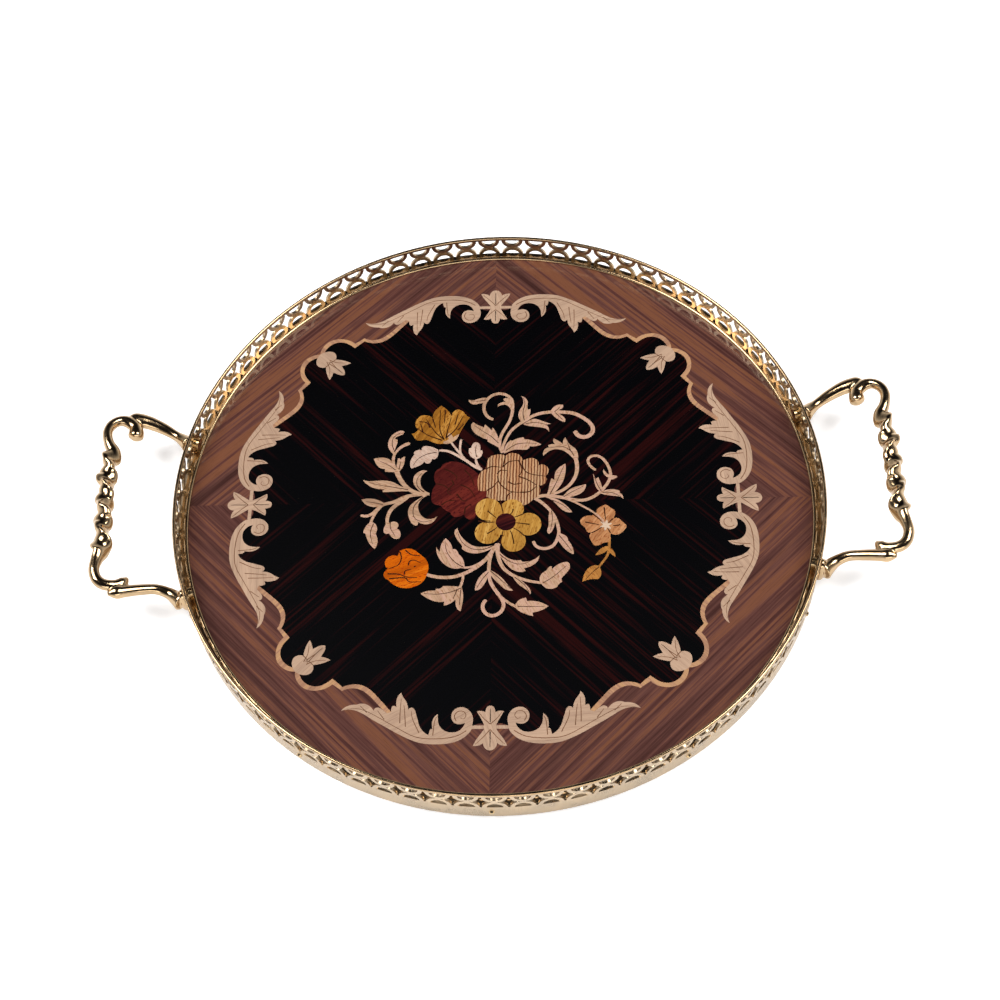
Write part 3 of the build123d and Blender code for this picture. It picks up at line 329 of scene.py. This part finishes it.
def smooth_path(points, steps):
    """Catmull-Rom through rows of numbers: a place and anything that changes along with it."""
    rows = [points[0], *points, points[-1]]
    found = []
    for p, q, r, s in zip(rows, rows[1:], rows[2:], rows[3:]):
        for i in range(steps):
            t = i / steps
            found.append(tuple(
                0.5 * (2 * b + (c - a) * t + (2 * a - 5 * b + 4 * c - d) * t * t
                       + (3 * b - a - 3 * c + d) * t ** 3)
                for a, b, c, d in zip(p, q, r, s)
            ))
    found.append(tuple(points[-1]))
    return found


class Solid:
    """Closed shapes gathered into one mesh."""

    def __init__(self):
        self.vertices = []
        self.faces = []

    def rings(self, rings):
        """A skin over rings of points, closed at both ends."""
        first = len(self.vertices)
        count = len(rings[0])
        for ring in rings:
            self.vertices.extend(ring)
        for k in range(len(rings) - 1):
            for i in range(count):
                j = (i + 1) % count
                a, b = first + k * count, first + (k + 1) * count
                self.faces.append((a + i, a + j, b + j, b + i))
        self.faces.append(tuple(first + i for i in reversed(range(count))))
        last = first + (len(rings) - 1) * count
        self.faces.append(tuple(last + i for i in range(count)))


# ---- engraved lines ----------------------------------------------------------------------------
LINE_DEPTH = 0.05                   # below the veneer's surface
LINE_PROUD = 0.012                  # above it


def on_pattern(x, y, z):
    return (
        PATTERN_CENTRE[0] + x * cos(PATTERN_TURN) - y * sin(PATTERN_TURN),
        PATTERN_CENTRE[1] + x * sin(PATTERN_TURN) + y * cos(PATTERN_TURN),
        z,
    )


def engrave(solid, points, width=0.5):
    """A thin dark line filled into the veneer, tapering to its end."""
    path = smooth_path(points, 5)
    rings = []
    for i, (x, y) in enumerate(path):
        ahead, behind = path[min(i + 1, len(path) - 1)], path[max(i - 1, 0)]
        dx, dy = ahead[0] - behind[0], ahead[1] - behind[1]
        run = sqrt(dx * dx + dy * dy)
        half = width / 2 * (1 - 0.55 * i / len(path))
        nx, ny = -dy / run * half, dx / run * half
        rings.append([
            on_pattern(x + nx, y + ny, PANEL_TOP - LINE_DEPTH),
            on_pattern(x - nx, y - ny, PANEL_TOP - LINE_DEPTH),
            on_pattern(x - nx, y - ny, PANEL_TOP + LINE_PROUD),
            on_pattern(x + nx, y + ny, PANEL_TOP + LINE_PROUD),
        ])
    solid.rings(rings)


# Lines in millimetres on the pattern, from its centre.
leaf_ribs = (
    ((-38, 6.5), (-41.7, 10), (-42.2, 15), (-39.6, 19)), ((-54.5, 21.3), (-58.5, 24.5), (-63.5, 27.3)),
    ((-52.6, 21.5), (-51.8, 26.5)), ((-55.2, 33), (-57, 38), (-56.3, 43), (-52.5, 46)),
    ((-47, 8.3), (-55, 10), (-63, 11.5), (-69, 13.5)), ((-60.5, -1), (-65.5, 0.2), (-70, 1)),
    ((-65, -13), (-66.5, -19), (-65, -26)), ((-56, -12.6), (-55.5, -16.5), (-53, -21)),
    ((-38.5, 3.5), (-43.3, -2.5), (-43, -9.5), (-38, -12.5), (-33, -11.3)),
    ((-9.5, 29), (-10.2, 33), (-9.8, 37)), ((-32, 32.5), (-37, 31.5), (-42, 28.5), (-44.8, 24)),
    ((2.6, 38), (-1.5, 42.5), (-6, 46), (-11, 50)), ((6.8, 33), (12, 36.8), (18, 37.8), (24, 37.2)),
    ((-4.5, 67.5), (-9, 66.8), (-13.5, 67)), ((17, 53), (16.2, 58.5), (17.3, 64), (16.4, 68.5)),
    ((17.5, 50.6), (22, 51.5), (27, 50.8), (30.5, 49)), ((34, 58.5), (37, 61.5)),
    ((34.5, 58), (38.5, 53)), ((31, 3.8), (34.2, 10.5), (36.8, 17), (39, 22.5)),
    ((44.5, 28.8), (42.5, 32.5), (38, 35), (31, 34.3)), ((43, 31.5), (41, 37.5)),
    ((38.5, 2.2), (43, 5.2), (49.5, 9)), ((59.2, 5.4), (57.3, 9.5), (55.5, 14.8)),
    ((59.8, 4.7), (65, 4.4), (69.8, 1.8)), ((32, 0.2), (37.5, -2.6), (42, -6.8)),
    ((31.9, -6.5), (32.3, -12), (31.2, -19)), ((35.8, -22), (39, -26.5), (42.6, -32)),
    ((1, -27.6), (-5, -30.2), (-11.5, -29.6), (-16.5, -25.5), (-19.2, -19)),
    ((-15.5, -41), (-20.5, -37.5), (-24.5, -31.5), (-25.8, -25)),
    ((13.5, -65), (19, -65.2), (27.5, -65.2)),
    ((-16.3, -53.6), (-23, -56.3), (-30, -57.2), (-36, -56.6)), ((-18.5, -54.5), (-20.5, -60)),
    ((-16.5, -54.5), (-17.2, -64)), ((-2, -44.3), (-5.2, -48.5), (-8.3, -54)),
    ((-1, -43.5), (4, -48.3), (10, -54.6)), ((27, -51.2), (32.5, -47.5), (39.5, -41)),
    ((12, -47.5), (17, -52), (20, -56.8)), ((4, -33.5), (9.5, -38), (16, -39.5), (23.5, -36)),
    ((56.8, -42), (53, -45.5), (49.5, -49.5)),
)
petal_lines = (
    ((-28, 41), (-33, 46), (-38.5, 55)), ((-28, 41), (-30.5, 48), (-30.5, 61)),
    ((-27, 41.5), (-26, 48), (-24.3, 56)), ((-26.5, 42.5), (-21.5, 48), (-17.5, 57)),
    ((-29, 40.5), (-37, 44), (-43.5, 49)), ((-34.7, 55), (-33, 49)), ((-40, 46), (-41.5, 52)),
    ((-36, 49), (-38, 52.5), (-42.5, 53.5)), ((-27.8, 61), (-28, 52)), ((-22, 51), (-20.5, 58)),
    ((-20.5, 47), (-17, 51.5)), ((-31.5, 11.8), (-27, 10.5), (-23.5, 7)),
    ((-27.5, 21.5), (-23.5, 19.5), (-20.5, 16.5), (-20.5, 14.5)),
    ((-23, 14), (-22, 11.5), (-24.5, 8.5), (-25, 6), (-23, 4.5)), ((-20, 5), (-17, 1), (-14.5, 0.5)),
    ((-28.3, -2), (-25, 0.5), (-20.5, 1)), ((-16, 20.5), (-12.5, 16), (-10.5, 10)),
    ((-18, 11), (-13, 8), (-10, 3)), ((-15.6, -7.8), (-15, -4), (-12, -1.5)),
    ((2.3, 16.5), (3, 12.5), (6, 8.5), (10, 6), (15, 5.5)), ((5, 22), (8.5, 25.5), (14, 26.3)),
    ((13.8, 26.5), (15.5, 22), (15.2, 18), (13.5, 15.8)), ((14, 15.8), (19, 13.5), (24, 9.8)),
    ((2, 17.5), (4, 20), (8, 19.5)), ((-4.4, 20.8), (-1, 22.5), (4, 22)),
    ((6.5, 28.9), (5.6, 25), (5, 22)), ((15.9, 26), (16.5, 21), (20, 17.5), (28.6, 15.7)),
    ((-3.4, 7), (0, 9.5), (2.4, 13)), ((15, 5.5), (20, 6), (24, 9.5)), ((7.2, 0.2), (8, 4), (11, 6)),
    ((8, 12.5), (11.5, 10.8), (15.5, 11.5)), ((-8, -12.4), (-3, -13.4), (1, -13.2)),
    ((4, -27), (5, -22), (5.5, -18.8)), ((17, -22), (14, -19), (11, -17)),
    ((17, -8), (14, -9.5), (11.4, -10.4)), ((4, 0), (4.8, -4), (5.6, -7.8)),
    ((-3, -6), (-0.5, -8.5), (1.8, -10.6)), ((11, -5), (10.5, -7), (9.3, -8.6)),
    ((20, -15), (16, -14.4), (12.6, -13.8)), ((11.5, -27), (10.6, -22), (9.4, -18.6)),
    ((-3, -20.5), (0, -18.5), (2.3, -16.6)), ((54.2, -9), (57, -11.5), (59.5, -14.5)),
    ((65, -12.1), (62.5, -15)), ((63.5, -21), (62, -18)), ((53.4, -20.7), (56, -19.5), (59, -17.3)),
    ((60.5, -5), (60.8, -9.5), (61.1, -12.5)), ((69, -16), (66.5, -16.5), (64.8, -16.4)),
    ((50, -14), (54, -15), (57.5, -15.8)), ((-45, -39.5), (-44.5, -37), (-42, -36.3), (-38.5, -38)),
    ((-42, -40.5), (-41, -39.8)), ((-47, -45), (-46.5, -42.8), (-43.5, -41.8)),
    ((-56, -44.5), (-50, -44.8), (-46, -46.5), (-40, -47)),
    ((-55, -47.5), (-47, -47), (-44, -49.5), (-38, -49.5)),
    ((-49.9, -31), (-49, -35), (-50.5, -39), (-55.5, -41.4)), ((-47, -30), (-43.5, -33), (-39, -33.5)),
)
# Lines of one scroll and one tulip, for the side beyond +Y.
scroll_lines = (
    ((12, 135.5), (18, 138.7), (28, 139.8), (38, 138.6), (48, 133.2), (57, 127.8), (66, 123.2),
     (73.5, 123)),
    ((36, 136.5), (39.5, 129), (40.3, 124.5)), ((46, 131), (46, 124), (45.7, 117.5)),
    ((54, 129), (57.6, 124)), ((29, 138), (28.3, 130.5), (27.2, 127.8)), ((63, 125), (66.6, 121.3)),
    ((43, 133), (43.6, 126), (44.2, 121)),
    ((17.3, 130.2), (18.3, 127.6), (16.6, 125), (13.6, 125), (12.4, 127.2), (13.6, 129),
     (15.4, 128.4)),
    ((0, 135), (3.6, 139.2), (7.4, 142.9)), ((0, 132), (3.2, 129), (5.8, 125.6)),
    ((0, 136), (0, 144.5)), ((0, 131), (0, 123.5)),
)
tulip_lines = (
    ((92.4, 98), (94.5, 96), (97, 95.5)), ((96, 97.5), (91.5, 95.6), (86, 95.3)),
    ((96, 95), (91, 91), (88, 88)),
)


def bouquet_engraving():
    ink = wood("scorched_line", (66, 34, 22), 0, 0.2)
    solid = Solid()
    for line in leaf_ribs:
        engrave(solid, line, 0.5)
    for line in petal_lines:
        engrave(solid, line, 0.8)
    new_object("bouquet_engraving", solid.vertices, solid.faces, ink,
               smooth=False)


def border_engraving():
    """The same lines on both sides of each axis and in each quarter."""
    solid = Solid()
    for quarter in range(4):
        for flip in (1, -1):
            for line in scroll_lines + tulip_lines:
                points = [(x * flip, y) for x, y in line]
                for _ in range(quarter):
                    points = [(y, -x) for x, y in points]
                engrave(solid, points, 0.5)
    pale_ink = wood("engraved_line", (136, 96, 70), 0, 0.2)
    new_object("border_engraving", solid.vertices, solid.faces, pale_ink,
               smooth=False)


bouquet_engraving()
border_engraving()


# ---- handles -----------------------------------------------------------------------------------
THINNEST = 0.2
FOOT_ABOVE_PANEL = 1.2
VOXEL = 0.5 * MM
SOFTEN_STEPS = 3


def on_handle(reach, along, above):
    """Outwards from the centre, along the handle from its middle, and above the panel."""
    return Vector((
        reach * cos(HANDLE_TURN) - along * sin(HANDLE_TURN),
        reach * sin(HANDLE_TURN) + along * cos(HANDLE_TURN),
        PANEL_TOP + above,
    ))


def cast_bar(solid, rows, steps=7, sides=28):
    """A cast bar. Each row of it is the reach, along and above of on_handle, the half width, the half
    thickness, the twist in degrees and how sharp its edges are."""
    path = smooth_path(rows, steps)
    places = [on_handle(*row[:3]) for row in path]
    rings = []
    for i, (place, row) in enumerate(zip(places, path)):
        tangent = (places[min(i + 1, len(path) - 1)] - places[max(i - 1, 0)]).normalized()
        side = Vector((0, 0, 1)).cross(tangent).normalized()
        upward = tangent.cross(side)
        half_width, half_thick, degrees, sharp = row[3:]
        twist = radians(degrees)
        ring = []
        for k in range(sides):
            t = 2 * pi * k / sides
            x = max(half_width, THINNEST) * cos(t)
            y = max(half_thick, THINNEST) * sin(t) * abs(sin(t)) ** max(sharp, 0)
            turned = (x * cos(twist) - y * sin(twist), x * sin(twist) + y * cos(twist))
            ring.append(place + side * turned[0] + upward * turned[1])
        rings.append(ring)
    solid.rings(rings)


def foot_pad(solid, angle, middle):
    """An oval pad whose back follows the outside of the gallery."""
    half_width, half_height, gap, sides = 4.7, 8.8, 0.05, 40
    rings = []
    for share, rise in ((1, 0), (1, 1.1), (0.94, 2.0), (0.8, 2.7), (0.55, 3.2), (0.2, 3.4)):
        ring = []
        for k in range(sides):
            t = 2 * pi * k / sides
            turn = radians(angle) + half_width * share * cos(t) / WALL_RADIUS
            reach = WALL_RADIUS + gap + rise
            height = middle + half_height * share * sin(t)
            ring.append(Vector((reach * cos(turn), reach * sin(turn), height)))
        rings.append(ring)
    solid.rings(rings)


def twisted_grip():
    """A flat bar twisted about its own length, a little uneven as the casting is."""
    rows = []
    for along in range(35, -28, -3):
        reach = 211 + 1.5 * min(1, (36 - along) / 12) + 0.5 * sin(along)
        half_width = 5.6 + 0.6 * cos(along / 3)
        twist = (38 - along) * 180 / 14.5
        rows.append((reach, along, 16.8, half_width, 3.3, twist, 0.12))
    return rows


grip = twisted_grip()
last_twist = grip[-1][5]
crook = [
    (200.2, 48.6, 11.6, 0.9, 0.9, 0, 0), (199.8, 50.6, 11.8, 4, 4.2, 0, 0),
    (199.4, 53.4, 12, 4.3, 4.4, 0, 0), (200.2, 57, 12.4, 3.7, 3.7, 0, 0),
    (204, 60.1, 13.8, 3.4, 3.4, 0, 0), (208.5, 59.9, 15.4, 2.8, 3.1, 0, 0),
    (212.4, 56.3, 16.7, 2.7, 3.2, 0, 0), (214, 50.8, 17.3, 2.8, 3.2, 0, 0),
    (212.8, 44.5, 16.9, 3, 3.3, 0, 0.1), (210.4, 39.2, 16, 4, 3.2, 0, 0.3),
]
hook = [
    (214, -29.5, 17.3, 3.9, 3.1, last_twist, 0.3), (215, -35.8, 17.7, 2.8, 3.1, last_twist, 0),
    (213.3, -41.4, 17.1, 2.8, 3.1, last_twist, 0), (209.3, -44.2, 15.7, 2.9, 3.1, last_twist, 0),
    (203.6, -43.6, 13.5, 3, 3, last_twist, 0), (200, -41.2, 12.2, 2.8, 2.8, last_twist, 0),
    (198.6, -38.6, 11.5, 0.9, 0.9, last_twist, 0),
]
back_arm = [
    (171, 48.2, 5.0, 4.8, 5.2, 0, 0), (174.6, 51.6, 4.7, 3.6, 3.9, 0, 0),
    (178.5, 54.6, 5, 2.8, 2.9, 0, 0), (184.8, 58.5, 6.5, 3.3, 3.2, 0, 0),
    (192, 61.4, 9, 3.9, 3.6, 0, 0), (197.4, 62.4, 10.9, 4.2, 3.8, 0, 0),
    (201.4, 62.8, 12.4, 3.5, 3.4, 0, 0), (204.4, 62.6, 13.6, 1, 1, 0, 0),
]
front_arm = [
    (170.5, -51, 3.2, 5, 5.4, 0, 0), (174, -48, 3.4, 3.9, 4.4, 0, 0),
    (178, -45.4, 4.4, 3.1, 3.2, 0, 0), (184.3, -43.8, 6.4, 2.8, 2.9, 0, 0),
    (192.7, -45.2, 9.4, 3, 3.1, 0, 0), (199, -46.9, 11.9, 3.3, 3.3, 0, 0),
    (203.6, -48.1, 13.6, 3.7, 3.5, 0, 0), (207.6, -49.4, 14.9, 1, 1, 0, 0),
]


def fused_mesh(thing):
    """The bars and feet melted into one skin, with soft inner corners."""
    remesh = thing.modifiers.new("fuse", "REMESH")
    remesh.mode = "VOXEL"
    remesh.voxel_size = VOXEL
    remesh.use_smooth_shade = True
    soften = thing.modifiers.new("soften", "SMOOTH")
    soften.factor = 0.5
    soften.iterations = SOFTEN_STEPS
    bpy.context.view_layer.update()
    evaluated = thing.evaluated_get(bpy.context.evaluated_depsgraph_get())
    mesh = bpy.data.meshes.new_from_object(evaluated)
    thing.modifiers.clear()
    return mesh


def handles():
    """One casting on the right, and its mirror image on the left."""
    casting = Solid()
    for rows in (crook + grip + hook, back_arm, front_arm):
        cast_bar(casting, rows)
    for foot in (HANDLE_DEGREES - FOOT_DEGREES, HANDLE_DEGREES + FOOT_DEGREES):
        foot_pad(casting, foot, PANEL_TOP + FOOT_ABOVE_PANEL)
    right = new_object("cast_handle_right", casting.vertices, casting.faces, cast_brass)
    right.data = fused_mesh(right)
    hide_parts("handle_right")
    mirrored = right.data.copy()
    mirrored.transform(Matrix.Diagonal((-1, 1, 1, 1)))
    mirrored.flip_normals()
    left = bpy.data.objects.new("cast_handle_left", mirrored)
    bpy.context.scene.collection.objects.link(left)
    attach(left, "root")
    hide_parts("handle_left")


handles()


# ---- camera, floor and light -------------------------------------------------------------------
def camera():
    azimuth, elevation, roll = radians(2.29), radians(58.44), radians(-4.753)
    distance = 0.9142
    target = Vector((0.9, 1.5, 12.0)) * MM
    back = Vector((sin(azimuth) * cos(elevation), -cos(azimuth) * cos(elevation), sin(elevation)))
    level = Vector((cos(azimuth), sin(azimuth), 0))
    up = back.cross(level)
    across = level * cos(roll) + up * sin(roll)
    upward = up * cos(roll) - level * sin(roll)
    data = bpy.data.cameras.new("camera")
    data.lens = 60.17
    data.sensor_width = 36
    data.clip_start = 0.01
    body = bpy.data.objects.new("camera", data)
    matrix = Matrix((across, upward, back)).transposed().to_4x4()
    matrix.translation = target + back * distance
    body.matrix_world = matrix
    bpy.context.scene.collection.objects.link(body)
    bpy.context.scene.camera = body


def area_light(name, place, size, power):
    """A rectangle of light that faces the middle of the tray."""
    data = bpy.data.lights.new(name, "AREA")
    data.shape = "RECTANGLE"
    data.size, data.size_y = size
    data.energy = power
    lamp = bpy.data.objects.new(name, data)
    lamp.location = place
    lamp.rotation_euler = (-Vector(place)).to_track_quat("-Z", "Y").to_euler()
    bpy.context.scene.collection.objects.link(lamp)


def studio():
    """A bright horizon under a dark ceiling: black in the lacquer, and dark bands in the brass."""
    world = bpy.data.worlds.new("studio")
    world.use_nodes = True
    tree = world.node_tree
    place = tree.nodes.new("ShaderNodeTexCoord")
    split = tree.nodes.new("ShaderNodeSeparateXYZ")
    ramp = tree.nodes.new("ShaderNodeValToRGB")
    tree.links.new(place.outputs["Generated"], split.inputs[0])
    tree.links.new(split.outputs["Z"], ramp.inputs[0])
    tree.links.new(ramp.outputs[0], tree.nodes["Background"].inputs[0])
    horizon, ceiling = ramp.color_ramp.elements
    horizon.position = 0.06
    horizon.color = (0.95, 0.96, 1, 1)
    ceiling.position = 0.5
    ceiling.color = (0.008, 0.008, 0.012, 1)
    tree.nodes["Background"].inputs[1].default_value = 1.0
    bpy.context.scene.world = world


def pale_floor():
    """Just under the tray, and bright enough to stay near white to its edges."""
    bpy.ops.mesh.primitive_plane_add(size=8, location=(0, 0, -0.2 * MM))
    floor = bpy.context.object
    floor.name = "floor"
    paper = Nodes("pale_floor")
    paper.set(Base_Color=(0.85, 0.85, 0.86, 1), Roughness=0.7)
    paper.set(Emission_Color=(1, 1, 1, 1), Emission_Strength=0.45)
    floor.data.materials.append(paper.material)


camera()
area_light("key_left", (-1.15, 0.1, 1.75), (1.0, 1.0), 36)
area_light("key_right", (1.15, 0.05, 1.7), (1.0, 1.0), 30)
area_light("front_low", (0.2, -1.7, 0.6), (1.8, 0.5), 8)
studio()
bpy.context.scene.view_settings.view_transform = "Standard"
pale_floor()
